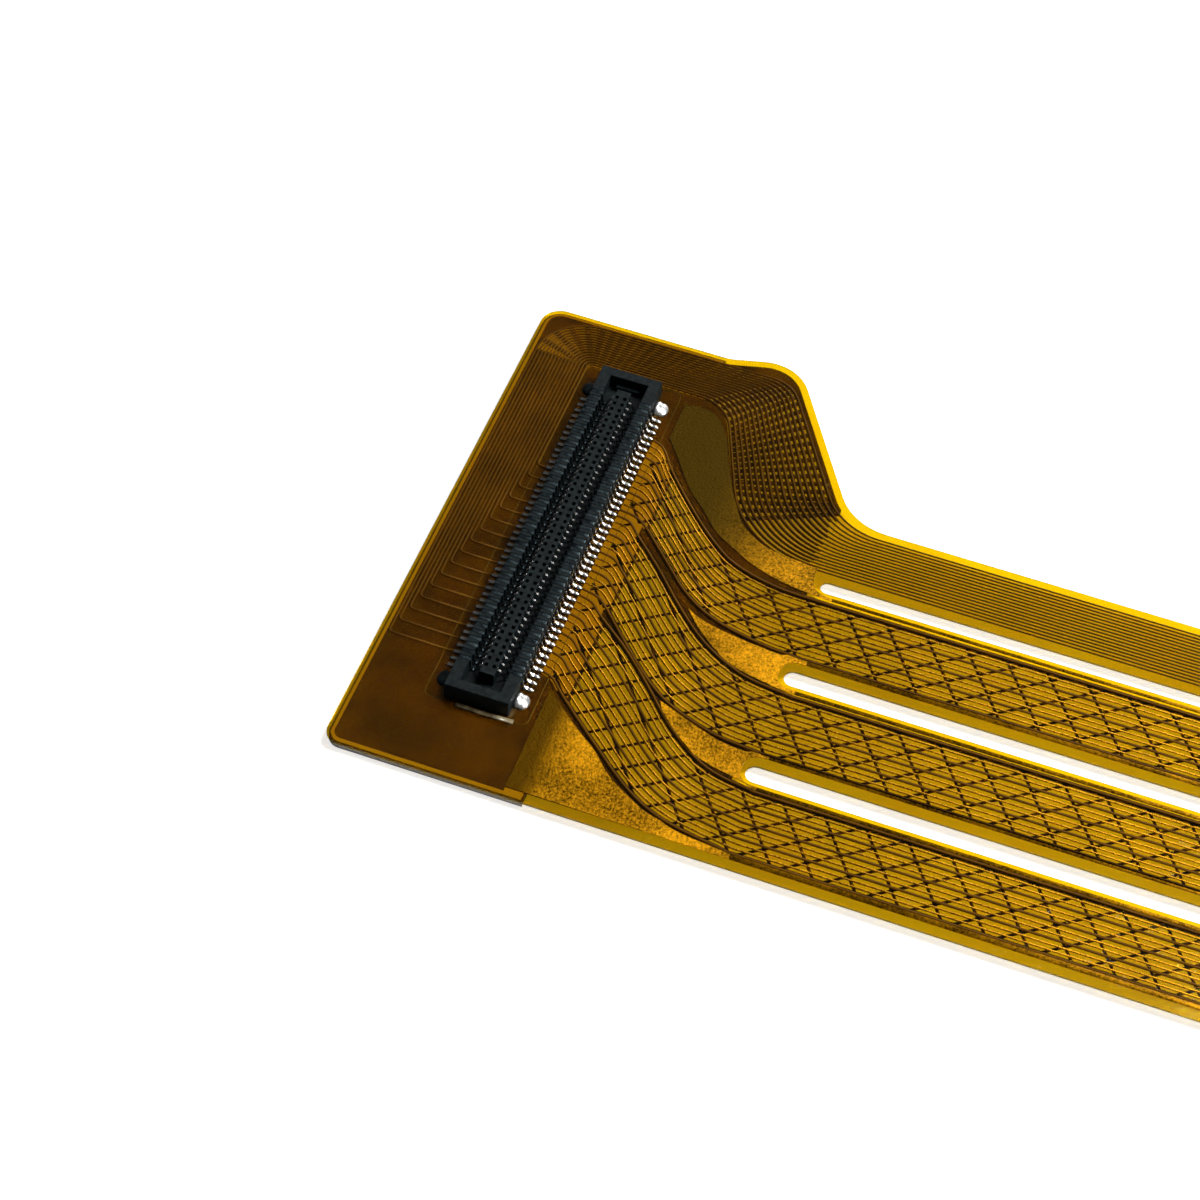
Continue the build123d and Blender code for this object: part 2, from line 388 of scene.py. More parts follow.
# %% Film ripple: broad waves, fine scuffs, and a colour that is a little deeper here and there
ripple, given, result = node_group(
    "film_ripple",
    [("Thin", COLOUR, (0.98, 0.83, 0.03, 1)), ("Deep", COLOUR, (0.9, 0.66, 0.01, 1)), ("Scuffs", FLOAT, 0.5)],
    SURFACE,
)
place = add_node(ripple, "ShaderNodeTexCoord").outputs["Object"]
waves = noise(ripple, place, 260.0, 2.0)
scratches = noise(ripple, place, 2600.0, 4.0, Distortion=1.5)
scuffed = worked_out(ripple, "MULTIPLY", scratches, given.outputs["Scuffs"])
put_out(
    ripple,
    result,
    Color=blended(ripple, waves, given.outputs["Thin"], given.outputs["Deep"]),
    Roughness=ranged(ripple, scratches, 0.62, 0.8, 0.06, 0.3),
    Height=worked_out(ripple, "ADD", scuffed, waves),
)

# %% Tooth: the faint unevenness of moulded resin, plating and rolled plate
tooth, given, result = node_group(
    "surface_tooth",
    [
        ("Base", COLOUR, (0.02, 0.03, 0.035, 1)),
        ("Worn", COLOUR, (0.06, 0.08, 0.09, 1)),
        ("Size", FLOAT, 3000.0),
        ("Smooth", FLOAT, 0.3),
        ("Rough", FLOAT, 0.6),
        ("Stretch", FLOAT, 1.0),
    ],
    SURFACE,
)
place = add_node(tooth, "ShaderNodeTexCoord").outputs["Object"]
pull = add_node(tooth, "ShaderNodeCombineXYZ", {"X": 1.0, "Y": given.outputs["Stretch"], "Z": 1.0})
drawn_out = add_node(tooth, "ShaderNodeVectorMath", {0: place, 1: pull.outputs[0]}, operation="MULTIPLY")
specks = noise(tooth, drawn_out.outputs[0], given.outputs["Size"], 4.0, Roughness=0.6)
worn = ranged(tooth, specks, 0.35, 0.7)
put_out(
    tooth,
    result,
    Color=blended(tooth, worn, given.outputs["Base"], given.outputs["Worn"]),
    Roughness=ranged(tooth, specks, 0.0, 1.0, given.outputs["Smooth"], given.outputs["Rough"]),
    Height=specks,
)
print("node groups:", [group.name for group in bpy.data.node_groups])

# %% [markdown]
# ## Finishes
# The films are polyimide, a clear amber plastic, so they are glass to Blender: light goes through, turns yellow,
# lights the table and comes back up deeper in colour. The bright yellow rims and the olive gaps between lines come
# partly from how much light gets below the sheet at each place, and partly from painted light: the table glows for
# rays seen through the film, and the bonding layer under the heads glows a little too.


# %% Finishes made with the groups
def grouped_finish(name, group, values, bump, distance, **plain):
    """A material whose colour, roughness and bump come from a node group with values of its own."""
    material, shader = finish_of(name, **plain)
    effect = add_node(material.node_tree, "ShaderNodeGroup", node_tree=group)
    for socket, value in values.items():
        effect.inputs[socket].default_value = value
    links = material.node_tree.links
    links.new(effect.outputs["Color"], shader.inputs["Base Color"])
    links.new(effect.outputs["Roughness"], shader.inputs["Roughness"])
    bump_from(material, effect.outputs["Height"], shader, bump, distance)
    return material


amber_film = grouped_finish(
    "amber_polyimide", ripple, {"Thin": (0.985, 0.79, 0.008, 1), "Deep": (0.965, 0.7, 0.004, 1)}, 0.25, 0.00001,
    Transmission_Weight=1.0, IOR=1.6,
)
line_copper = grouped_finish(
    "coated_copper_line", grain_and_sheen,
    {"Dark": (0.3, 0.12, 0.001, 1), "Bright": (1.0, 0.46, 0.01, 1), "Brightness": 0.4, "Painted Sheen": 0.8,
     "Smooth": 0.2, "Rough": 0.36},
    0.25, 0.000003, Metallic=0.95, Specular_IOR_Level=0.05,
)
# A darker copy of the line copper, for the guard lines and the first strip's lines: painted shade.
shaded_copper = grouped_finish(
    "coated_copper_in_shade", grain_and_sheen,
    {"Dark": (0.07, 0.028, 0.0, 1), "Bright": (0.35, 0.14, 0.004, 1), "Brightness": 0.2, "Painted Sheen": 0.6},
    0.25, 0.000003, Metallic=0.3, Specular_IOR_Level=0.05,
)
# The lands' colour is painted light: shade further from the cable's middle and sheen nearer to it, where the slots
# start.
painted_sheen_land = grouped_finish(
    "grained_copper_land_painted_sheen", grain_and_sheen,
    {"Dark": (0.12, 0.055, 0.0, 1), "Bright": (0.95, 0.42, 0.006, 1), "Brightness": 0.52, "Painted Sheen": 1.0,
     "Lit From": 0.0317, "Lit To": 0.0303, "Specks": 1.3, "Smooth": 0.25, "Rough": 0.5},
    1.0, 0.00003, Metallic=0.65, Specular_IOR_Level=0.05,
)
shaded_land = grouped_finish(
    "shaded_copper_land", grain_and_sheen,
    {"Dark": (0.075, 0.04, 0.0, 1), "Bright": (0.95, 0.42, 0.006, 1), "Brightness": 0.5, "Painted Sheen": 1.0,
     "Lit From": 0.0292, "Lit To": 0.0228, "Specks": 1.7, "Smooth": 0.25, "Rough": 0.5},
    1.0, 0.00003, Metallic=0.5, Specular_IOR_Level=0.05,
)
ground_copper = grouped_finish(
    "sealed_ground_copper", grain_and_sheen,
    {"Dark": (0.08, 0.05, 0.001, 1), "Bright": (0.5, 0.26, 0.006, 1), "Brightness": 0.16, "Painted Sheen": 0.9},
    0.5, 0.000008, Metallic=0.2, Specular_IOR_Level=0.05,
)
mesh_copper = grouped_finish(
    "sealed_mesh_copper", grain_and_sheen,
    {"Dark": (0.06, 0.03, 0.001, 1), "Bright": (0.3, 0.13, 0.005, 1), "Brightness": 0.15, "Painted Sheen": 0.5},
    0.3, 0.000004, Metallic=0.3, Specular_IOR_Level=0.05,
)
resin = grouped_finish(
    "black_moulded_resin", tooth,
    {"Base": (0.003, 0.006, 0.007, 1), "Worn": (0.012, 0.019, 0.021, 1), "Size": 4200.0, "Smooth": 0.4,
     "Rough": 0.7},
    0.4, 0.000006, Specular_IOR_Level=0.18,
)
plated = grouped_finish(
    "bright_plating", tooth,
    {"Base": (0.75, 0.74, 0.7, 1), "Worn": (0.92, 0.91, 0.88, 1), "Size": 2600.0, "Smooth": 0.12, "Rough": 0.3},
    0.2, 0.000003, Metallic=1.0,
)
# A darker copy of the plating: painted shade and dark reflection, for the contacts over the wall and the back
# row's solder.
painted_shade_plating = grouped_finish(
    "plating_painted_shade", tooth,
    {"Base": (0.015, 0.024, 0.03, 1), "Worn": (0.08, 0.11, 0.12, 1), "Size": 2600.0, "Smooth": 0.25, "Rough": 0.5},
    0.2, 0.000003, Metallic=0.9,
)
solder = grouped_finish(
    "bright_solder", tooth,
    {"Base": (0.8, 0.8, 0.78, 1), "Worn": (0.95, 0.95, 0.94, 1), "Size": 1800.0, "Smooth": 0.2, "Rough": 0.4},
    0.5, 0.00001, Metallic=0.85,
)
steel = grouped_finish(
    "rolled_steel_plate", tooth,
    {"Base": (0.4, 0.39, 0.37, 1), "Worn": (0.5, 0.49, 0.47, 1), "Size": 7000.0, "Smooth": 0.3, "Rough": 0.55,
     "Stretch": 0.03},
    0.3, 0.00001, Metallic=0.85,
)
bond = grouped_finish(
    "bonding_layer_painted_glow", tooth,
    {"Base": (0.95, 0.8, 0.45, 1), "Worn": (1.0, 0.9, 0.6, 1), "Size": 1500.0, "Smooth": 0.5, "Rough": 0.8},
    0.3, 0.00001, Emission_Color=(1.0, 0.85, 0.2, 1),
)
# The bonding layer glows a little for rays that come through the film: painted light, standing in for the light
# that the glass film keeps from it. Its pale colour is its own, made lighter for the same light.
paths = add_node(bond.node_tree, "ShaderNodeLightPath")
painted_glow = worked_out(bond.node_tree, "MULTIPLY", paths.outputs["Is Transmission Ray"], 0.14)
bond.node_tree.links.new(painted_glow, bond.node_tree.nodes["Principled BSDF"].inputs["Emission Strength"])
pale_glue = grouped_finish(
    "pale_glue", tooth,
    {"Base": (0.07, 0.04, 0.01, 1), "Worn": (0.42, 0.34, 0.18, 1), "Size": 2500.0, "Smooth": 0.3, "Rough": 0.5},
    0.5, 0.00001, Coat_Weight=0.3,
)
print("finishes:", len(bpy.data.materials))

# %% Solids whose shape is right keep it and get their finish
for label, finish in [
    ("base_film", amber_film),
    ("bottom_cover_film", amber_film),
    ("stiffener", steel),
    ("adhesive", bond),
]:
    for name in [n for n in nodes if n.endswith(label)]:
        nodes[name].data.materials.clear()
        nodes[name].data.materials.append(finish)
    print(label, "is finished in", finish.name)

# %% [markdown]
# ## The three bundles of lines behind the front pins
# Each bundle serves one strip: four pairs of thin lines for fast signals, parted by wider guard lines.
# The first and last lines of a bundle were measured, and the lines between them share the room evenly.

# %% Bundle routes
PITCH, PINS, BUNDLE_LINES = 0.4, 45, 13
guard_width, signal_width = 0.13, 0.11


def at(u, y):
    """A place by its distance from the near connector's centre line."""
    return Vector((near_x + u, y))


def pin_y(number):
    """The place of a contact along its row."""
    return PITCH * ((PINS - 1) / 2 - number)


bundle_edges = [
    (
        [(2.07, 7.6), (2.75, 7.25), (3.5, 6.15), (5.0, 4.4), (6.7, 2.7), (8.2, 1.65), (10.4, 1.06), (13.1, 0.95)],
        [(2.07, 2.8), (2.9, 2.65), (3.6, 2.2), (5.2, 0.55), (6.6, -0.85), (8.3, -1.85), (10.6, -2.4),
         (12.6, -2.57)],
    ),
    (
        [(2.07, 2.4), (2.75, 2.25), (3.4, 1.6), (5.0, 0.0), (6.6, -1.75), (8.3, -3.3), (10.4, -4.4), (12.9, -4.8)],
        [(2.07, -2.4), (2.9, -2.6), (3.5, -3.1), (5.0, -4.7), (6.4, -6.1), (7.9, -7.2), (10.2, -8.05),
         (12.6, -8.33)],
    ),
    (
        [(2.07, -2.8), (2.75, -3.0), (3.4, -3.6), (5.1, -5.0), (6.7, -6.6), (8.6, -8.6), (10.6, -9.95),
         (12.9, -10.43)],
        [(2.07, -7.6), (2.6, -7.8), (3.1, -8.3), (4.0, -9.15), (5.7, -10.65), (7.7, -12.3), (9.7, -13.3),
         (12.9, -13.9)],
    ),
]


def edge_route(edge):
    """A smooth route through measured points, and on to the cable's middle."""
    return flowing([at(*p) for p in edge]) + [Vector((0, edge[-1][1]))]


bundles = []
for first_edge, last_edge in bundle_edges:
    first, last = edge_route(first_edge), edge_route(last_edge)
    bundles.append([blend(first, last, line / (BUNDLE_LINES - 1)) for line in range(BUNDLE_LINES)])


def whole(route):
    """A near half and its mirror image, as one line."""
    return route[:-1] + far_side(route[:-1])


for strip, lines in enumerate(bundles, start=2):
    signals = [(whole(line), signal_width) for k, line in enumerate(lines) if k % 3]
    guards = [(whole(line), guard_width) for k, line in enumerate(lines) if k % 3 == 0]
    for kind, routes, finish, profile in (
        ("signals", signals, line_copper, ROUND_BACK),
        ("guards", guards, shaded_copper, FLAT_BACK),
    ):
        mesh = ridges(f"{kind}_{strip}", routes, line_base, copper_top, profile)
        dressed(f"{kind}_bundle_{strip}", mesh, finish, [f"{kind}_strip_{strip}"])
print("bundle lines:", sum(len(lines) for lines in bundles))

# %% [markdown]
# ## The sixteen lines of the first strip
# They leave the back pins, climb beside the connector, turn round the corner of the head as one family
# of arcs, and run over the shoulder into the first strip. One formula gives them all.

# %% First strip routes
EDGE_LINES = 16
head_back, head_top, strip_top = -5.2, 13.70, 5.60


def edge_line(number):
    """One line, counted from the head's edge inwards.

    Each measure is the first line's, with its change from line to line or, times the share, to the last line.
    """
    share = number / (EDGE_LINES - 1)
    column, row, level = head_back + 0.18 * number, head_top - 0.165 * number, strip_top - 0.19 * number
    start_y = pin_y(42 - 2 * number)
    corners = [(-2.07, start_y), (column, start_y), (column, row), (7.25 - 2.55 * share, row)]
    corners += [(12.05 - 4.05 * share, level), (-near_x, level)]
    arc = 2.6 - 0.155 * number
    return rounded([at(*c) for c in corners], [0.2, arc, 1.75 + 0.45 * share, 3.45 + 1.7 * share], 12)


edge_lines = [edge_line(number) for number in range(EDGE_LINES)]
mesh = ridges("lines_1", [(whole(line), signal_width) for line in edge_lines], line_base, copper_top)
dressed("lines_bundle_1", mesh, shaded_copper, ["lines_strip_1"])
print("first strip lines:", EDGE_LINES)

# %% [markdown]
# ## Lands between the bundles
# Where lines spread apart the copper is left standing, for ground and for strength. Each land keeps a
# steady distance to the lines beside it and ends round the root of a slot. From there a border line goes
# on along both edges of the slot.

# %% Land outlines
LAND_BACK, LAND_FOOT = 2.75, -14.16


def land(*edges):
    """One outline from smooth edges, each through measured points."""
    return [at(*p) for edge in edges for p in (flowing(edge, 5) if len(edge) > 2 else edge)]


lens_2_3 = land(
    [(7.0, -1.7), (7.7, -2.07), (8.7, -2.33), (9.7, -2.5), (10.7, -2.61), (11.7, -2.69), (12.0, -2.6),
     (12.4, -2.57), (13, -2.57)],
    [(13.0, -2.86), (12.4, -2.92), (12.05, -3.2), (11.95, -3.7), (12.05, -4.1), (12.4, -4.4), (13.0, -4.44)],
    [(13.0, -4.64), (12.3, -4.6), (11.7, -4.5), (10.7, -4.33), (9.7, -4.04), (8.7, -3.39), (7.7, -2.52),
     (7.2, -1.95)],
)
lens_3_4 = land(
    [(7.5, -7.2), (8.7, -7.68), (9.7, -8.05), (10.7, -8.36), (11.7, -8.48), (12.05, -8.44), (12.4, -8.32),
     (13.0, -8.29)],
    [(13.0, -8.53), (12.45, -8.6), (12.1, -8.9), (12.0, -9.4), (12.1, -9.8), (12.45, -10.1), (13.0, -10.16)],
    [(13.0, -10.36), (12.2, -10.1), (11.7, -9.97), (10.7, -9.77), (9.7, -9.42), (9.2, -9.09), (8.7, -8.6),
     (8.06, -8.05), (7.7, -7.59)],
)
corner_land = land(
    [(LAND_BACK, -8.4), (3.7, -9.3), (4.7, -10.15), (5.7, -10.9), (6.7, -11.92), (7.7, -12.58), (8.7, -13.12),
     (9.6, -13.4), (10.6, -13.7), (13.0, -13.95)],
    [(13.0, -14.22), (9.0, -14.2)], [(3.2, LAND_FOOT), (LAND_BACK, LAND_FOOT)],
)
shoulder_land = land(
    [(2.8, 8.0), (3.6, 6.9), (4.7, 5.3), (5.7, 4.3), (6.7, 3.2), (7.7, 2.58), (8.7, 2.02), (9.7, 1.64),
     (10.7, 1.4), (11.7, 1.27), (13.0, 1.17)],
    [(13.0, 1.34), (12.5, 1.38), (12.05, 1.62), (11.85, 2.1), (11.78, 2.84)],
    [(10.7, 2.94), (9.7, 3.05), (8.7, 3.4), (7.7, 4.14), (7.15, 5.05), (6.7, 5.86), (5.9, 7.6), (5.35, 9.0),
     (4.6, 10.1), (3.6, 10.5), (2.8, 10.3)],
)
mesh = plates("bright_lands", [lens_2_3, lens_3_4, corner_land], line_base, copper_top)
both_ends("bright_lands", mesh, painted_sheen_land, "lands")
mesh = plates("shoulder_land", [shoulder_land], line_base, copper_top)
both_ends("shoulder_land", mesh, shaded_land)

# %% Border lines beside the slots
# Each border line is (level, width): the lower line of a strip stands further in than the upper one.
borders = [(1.255, 0.17), (-2.715, 0.29), (-4.54, 0.2), (-8.41, 0.24), (-10.26, 0.2), (-14.085, 0.27)]
BORDER_START = 12.98
borders = [(whole([at(BORDER_START, level), Vector((0, level))]), width) for level, width in borders]
mesh = ridges("borders", borders, line_base, copper_top, FLAT_BACK)
dressed("slot_border_lines", mesh, painted_sheen_land)
print("border lines:", len(borders))

# %% [markdown]
# ## Ground copper below the film
# Under the bundles of strips 2 to 4 the ground is a slanting lattice, so that the strips stay limp. Each
# lattice line is clipped to the room below its bundle. Along the head's top and over the shoulder the ground
# is a much finer grid, which shows as rows of dots between the lines. Elsewhere it is solid and looks dark.


# %% Clip a straight line to an outline
SHORTEST = 0.05


def clipped(start, end, outline):
    """The stretches of a straight line that lie inside an outline, holes included."""
    length = (end - start).length
    cuts = []
    for k, corner in enumerate(outline):
        meets = intersect_line_line_2d(start, end, outline[k - 1], corner)
        if meets:
            cuts.append((meets - start).length / length)
    cuts.sort()
    inside = [(a, b) for a, b in zip(cuts[::2], cuts[1::2]) if (b - a) * length > SHORTEST]
    return [(start.lerp(end, a), start.lerp(end, b)) for a, b in inside]


def lattice(outline, corner, step_a, step_b, width):
    """Two families of parallel lines, each (direction and spacing) a lattice step, clipped to an outline."""
    routes = []
    centre = sum(outline, Vector((0, 0))) / len(outline)
    span = max((p - centre).length for p in outline) + 2
    for along, across in ((step_a, step_b), (step_b, step_a)):
        direction = along.normalized()
        normal = Vector((-direction.y, direction.x))
        spacing = abs(across.dot(normal))
        phase = (corner - centre).dot(normal) % spacing
        for k in range(-int(span / spacing) - 1, int(span / spacing) + 2):
            foot = centre + normal * (phase + k * spacing)
            inside = clipped(foot - direction * span, foot + direction * span, outline)
            routes += [([a, b], width) for a, b in inside]
    return routes


# %% The slanting lattice under strips 2 to 4
# A bundle's ground reaches a margin past its outer lines, and has a wider rim of its own under each of them.
STEP_A, STEP_B, LATTICE_CORNER = Vector((0.65, -0.915)), Vector((-1.26, -0.905)), at(19.77, 0.52)
MARGIN, LATTICE_START, LATTICE_WIDTH, RIM_START, RIM_WIDTH = 0.1, 2.4, 0.14, 14, 0.3
for strip, lines in enumerate(bundles, start=2):
    outline = shifted(lines[0], MARGIN) + shifted(lines[-1], -MARGIN)[::-1]
    room = [p for p in outline if p.x > near_x + LATTICE_START]
    routes = lattice(room, LATTICE_CORNER, STEP_A, STEP_B, LATTICE_WIDTH)
    routes += [(line[RIM_START:], RIM_WIDTH) for line in (lines[0], lines[-1])]
    routes += [(far_side(route), width) for route, width in routes]
    mesh = ridges(f"lattice_{strip}", routes, mesh_base, mesh_top, FLAT_BACK)
    dressed(f"ground_lattice_{strip}", mesh, mesh_copper, [f"ground_mesh_strip_{strip}"])
    print("lattice", strip, "lines:", len(routes))

# %% Solid ground under the head, open below the lines
# From LAND_BACK on it ends at the corner land's foot, so that the film shines bright along the lower edge, and
# between two bundles it starts at FORK. The first strip's lines run over solid ground up the column beside the
# pins, and over the fine grid from the point COLUMN_TOP of their routes.
COLUMN_TOP, FORK, LINE_MARGIN = 14, 3.4, 0.06
rim = outline_of("near_ground_plane")
ground_end = max(p.x for p in rim) - 2 * HAIR
corner = min(rim, key=lambda p: (round(p.y, 3), -p.x))
notch = [at(LAND_BACK, corner.y), at(LAND_BACK, LAND_FOOT), Vector((corner.x, LAND_FOOT))]
spot = rim.index(corner)
rim[spot : spot + 1] = notch if rim[spot - 1].y < LAND_FOOT else notch[::-1]


def opening(first, last, start=-math.inf):
    """The outline of the room between two routes, up to the ground's end."""
    return stretch(first, start, ground_end) + stretch(last, start, ground_end)[::-1]


outer, inner = shifted(edge_lines[0], LINE_MARGIN), shifted(edge_lines[-1], -MARGIN)
edge_hole = opening(outer[COLUMN_TOP:], inner[COLUMN_TOP:])
fan_hole = opening(shifted(bundles[0][0], MARGIN), shifted(bundles[-1][-1], -MARGIN))
between_bundles = [
    opening(shifted(above[-1], -MARGIN), shifted(below[0], MARGIN), near_x + FORK)
    for above, below in zip(bundles, bundles[1:])
]
mesh = plates("ground", [rim, edge_hole, fan_hole, *between_bundles], mesh_base, mesh_top)
both_ends("ground_sheet", mesh, ground_copper, "ground_plane")


# %% The fine grid: a ribbon under each line and bars across, so that rows of dots stay open
def cross_stations(lines, first, last, spacing):
    """Points at equal steps along the middle line, with their fellows on all the other lines."""
    middle, walked, stations = lines[len(lines) // 2], 0.0, []
    for k in range(first, last):
        length = (middle[k + 1] - middle[k]).length
        while walked < length:
            stations.append([line[k].lerp(line[k + 1], walked / length) for line in lines])
            walked += spacing
        walked -= length
    return stations


BAR_PITCH, BAR_WIDTH, SLIT = 0.43, 0.28, 0.08
dots = []
for line, fellow in zip(edge_lines, edge_lines[1:] + edge_lines[-2:-1]):
    part = [k for k in range(COLUMN_TOP, len(line) - 1) if line[k].x < ground_end]
    widths = []
    for k in part:
        ahead = (line[k + 1] - line[k]).normalized()
        widths.append(abs((fellow[k] - line[k]).cross(ahead)) - SLIT)
    dots.append(([line[k] for k in part], widths))
for bar in cross_stations(edge_lines, COLUMN_TOP, len(edge_lines[0]) - 2, BAR_PITCH):
    if max(p.x for p in bar) < ground_end:
        dots.append((bar, BAR_WIDTH))
mesh = ridges("dotted_ground", dots, mesh_base, mesh_top, FLAT_BACK)
both_ends("dotted_ground", mesh, ground_copper)

# %% [markdown]
# ## The receptacle
# The housing is one moulding: a floor, two long walls with a comb of ribs that keeps the contacts apart,
# two end walls and a centre island with two rows of sockets. Ribs and sockets repeat at 0.4 mm.

# %% Housing
# WALL is the long walls' thickness, ISLAND half the island's width, and SEAT the depth in which contacts lie.
HALF_WIDTH, HALF_LENGTH, WALL, ISLAND, SEAT = 1.52, 10.55, 0.56, 0.35, 0.08
# Heights over the film: the foot of everything, the groove's floor, the sockets' floor and the top.
FOOT, FLOOR, SOCKET, TOP = 0.003, 0.1, 0.45, housing_top - film_top
row_end = pin_y(0)
comb_end, island_end = row_end + 0.1, row_end + 0.5


def moulded(*boxes):
    """Boxes of the housing, measured from its centre line and from the film."""
    return [(near_x + a, near_x + b, c, d, film_top + e, film_top + f) for a, b, c, d, e, f in boxes]


shape = moulded((-HALF_WIDTH + SEAT, HALF_WIDTH - SEAT, -HALF_LENGTH + 0.02, HALF_LENGTH - 0.02, FOOT, 0.15))
for side in (1, -1):
    inside, outside = side * (HALF_WIDTH - WALL), side * HALF_WIDTH
    shape += moulded((inside, outside - side * SEAT, -comb_end, comb_end, FLOOR, TOP - SEAT))
    for end in (1, -1):
        shape += moulded((inside, outside, end * comb_end, end * HALF_LENGTH, FOOT, TOP))
    for number in range(PINS - 1):
        y = pin_y(number) - PITCH / 2
        shape += moulded((inside, outside, y - 0.1, y + 0.1, FLOOR, TOP))
for end in (1, -1):
    shape += moulded((-0.98, 0.98, end * (HALF_LENGTH - 0.5), end * HALF_LENGTH, FOOT, TOP - 0.004))
shape += moulded((-ISLAND, ISLAND, -island_end, island_end, FLOOR, 0.5))
for low, high in ((-ISLAND, -0.28), (-0.12, 0.09), (0.26, ISLAND)):
    shape += moulded((low, high, -island_end, island_end, SOCKET, TOP - 0.02))
for low, high in ((-0.3, -0.1), (0.07, 0.28)):
    for number in range(PINS + 1):
        y = pin_y(number) + PITCH / 2
        shape += moulded((low, high, y - 0.11, y + 0.11, SOCKET, TOP - 0.025))
    for end in (1, -1):
        shape += moulded((low, high, end * (row_end + 0.3), end * (row_end + 0.49), SOCKET, TOP - 0.02))
for end in (1, -1):
    shape += moulded((-0.6, 0.6, end * (HALF_LENGTH - 0.72), end * (HALF_LENGTH - 0.45), FLOOR, 0.42))
both_ends("housing_moulding", blocks("housing", shape), resin, "housing")

# %% [markdown]
# ## Contacts
# Each contact is one stamped strip: a soldered foot, a knee, a leg up the outside of the wall, a turn
# over the top and down into the groove, and a spring that stands in the groove with its tip against the
# island. The outline is drawn once, as a smooth line, and swept across the width of the strip.

# %% Contacts
strip_line = [
    (2.03, 0.035), (1.8, 0.05), (1.64, 0.12), (1.565, 0.3), (1.53, 0.44), (1.475, 0.55), (1.475, 0.8),
    (1.43, 0.862), (1.0, 0.862), (0.925, 0.8), (0.92, 0.45), (0.86, 0.24), (0.74, 0.2), (0.66, 0.3), (0.6, 0.52),
    (0.5, 0.66), (0.39, 0.7), (0.36, 0.85),
]
spine = flowing(strip_line, 3)
THICK, CONTACT, SPRING = 0.05, 0.16, 0.1
# Of the spine's points these lie over the wall, where the plating gets a darker finish that paints a dark
# reflection, and the narrow spring starts at one.
WALL_PART, SPRING_START = range(11, 39), 30


def contact_row(side):
    """One row of contacts, on the strips' side or the back."""
    verts, faces, painted_dark = [], [], []
    for number in range(PINS):
        y, start = pin_y(number), len(verts)
        for k, point in enumerate(spine):
            ahead = (spine[min(k + 1, len(spine) - 1)] - spine[max(k - 1, 0)]).normalized()
            off = Vector((-ahead.y, ahead.x)) * THICK / 2
            for sign, edge in ((1, 0.5), (1, -0.5), (-1, -0.5), (-1, 0.5)):
                place = point + sign * off
                height = min(max(place.y, 0.004), TOP - 0.002)
                width = CONTACT if k < SPRING_START else SPRING
                verts.append((near_x + side * place.x, y + edge * width, film_top + height))
        for k in range(start, len(verts) - 4, 4):
            ring = [(k + a, k + (a + 1) % 4, k + 4 + (a + 1) % 4, k + 4 + a) for a in range(4)]
            faces += ring if side > 0 else [face[::-1] for face in ring]
            painted_dark += [int((k - start) // 4 in WALL_PART)] * 4
        faces += [tuple(range(start, start + 4)), tuple(range(len(verts) - 1, len(verts) - 5, -1))]
        painted_dark += [0, 0]
    mesh = bpy.data.meshes.new("contacts")
    mesh.from_pydata(verts, [], faces)
    mesh.polygons.foreach_set("material_index", painted_dark)
    return mesh


both_ends("front_contact_row", contact_row(1), (plated, painted_shade_plating), "front_contacts")
both_ends("back_contact_row", contact_row(-1), (plated, painted_shade_plating), "back_contacts")

# %% [markdown]
# ## Solder
# Molten solder climbs each foot and sets as a small bright mound. A mound is a row of half rings that
# swell at the wall and taper to the toe. The four corner tabs get larger, rounder ones.


# %% Solder mounds
def mound(verts, faces, rings, side, y):
    """Half rings across Y, each (u, half width, height), joined into a closed mound."""
    start, across, foot = len(verts), 7, film_top + FOOT
    for u, half, height in rings:
        for k in range(across):
            angle = math.pi * k / (across - 1)
            verts.append((near_x + side * u, y - half * math.cos(angle), foot + height * math.sin(angle)))
    for first in range(start, len(verts) - across, across):
        for a in range(first, first + across - 1):
            faces.append((a, a + 1, a + across + 1, a + across))
        faces.append((first, first + across, first + 2 * across - 1, first + across - 1))
    faces += [tuple(range(start + across - 1, start - 1, -1)), tuple(range(len(verts) - across, len(verts)))]


def mounds(side, places, rings):
    """A row of mounds in one mesh."""
    verts, faces = [], []
    for y in places:
        mound(verts, faces, rings, side, y)
    mesh = bpy.data.meshes.new("mounds")
    mesh.from_pydata(verts, [], faces)
    shape = bmesh.new()
    shape.from_mesh(mesh)
    bmesh.ops.recalc_face_normals(shape, faces=shape.faces[:])
    shape.to_mesh(mesh)
    shape.free()
    mesh.shade_smooth()
    return mesh


foot_rings = [
    (1.57, 0.05, 0.16), (1.6, 0.085, 0.2), (1.66, 0.1, 0.17), (1.74, 0.08, 0.1), (1.8, 0.07, 0.075),
    (1.86, 0.085, 0.09), (1.95, 0.1, 0.1), (2.03, 0.08, 0.06), (2.08, 0.04, 0.025), (2.1, 0.01, 0.005),
]
tab_rings = [
    (1.53, 0.3, 0.12), (1.56, 0.42, 0.3), (1.66, 0.46, 0.31), (1.78, 0.42, 0.2), (1.9, 0.44, 0.17),
    (2.02, 0.38, 0.12), (2.12, 0.26, 0.06), (2.17, 0.1, 0.02),
]
rows = [pin_y(number) for number in range(PINS)]
both_ends("front_solder", mounds(1, rows, foot_rings), solder)
# The back row's solder and corner tabs lie in the housing's shadow; their darker plating finish paints that shade.
low_rings = [(u, half, height * 0.6) for u, half, height in foot_rings]
both_ends("back_solder", mounds(-1, rows, low_rings), painted_shade_plating)
tab_y = 9.58
both_ends("tab_solder", mounds(1, (tab_y, -tab_y), tab_rings), solder, "hold_downs")
both_ends("back_tab_solder", mounds(-1, (tab_y, -tab_y), tab_rings), painted_shade_plating)

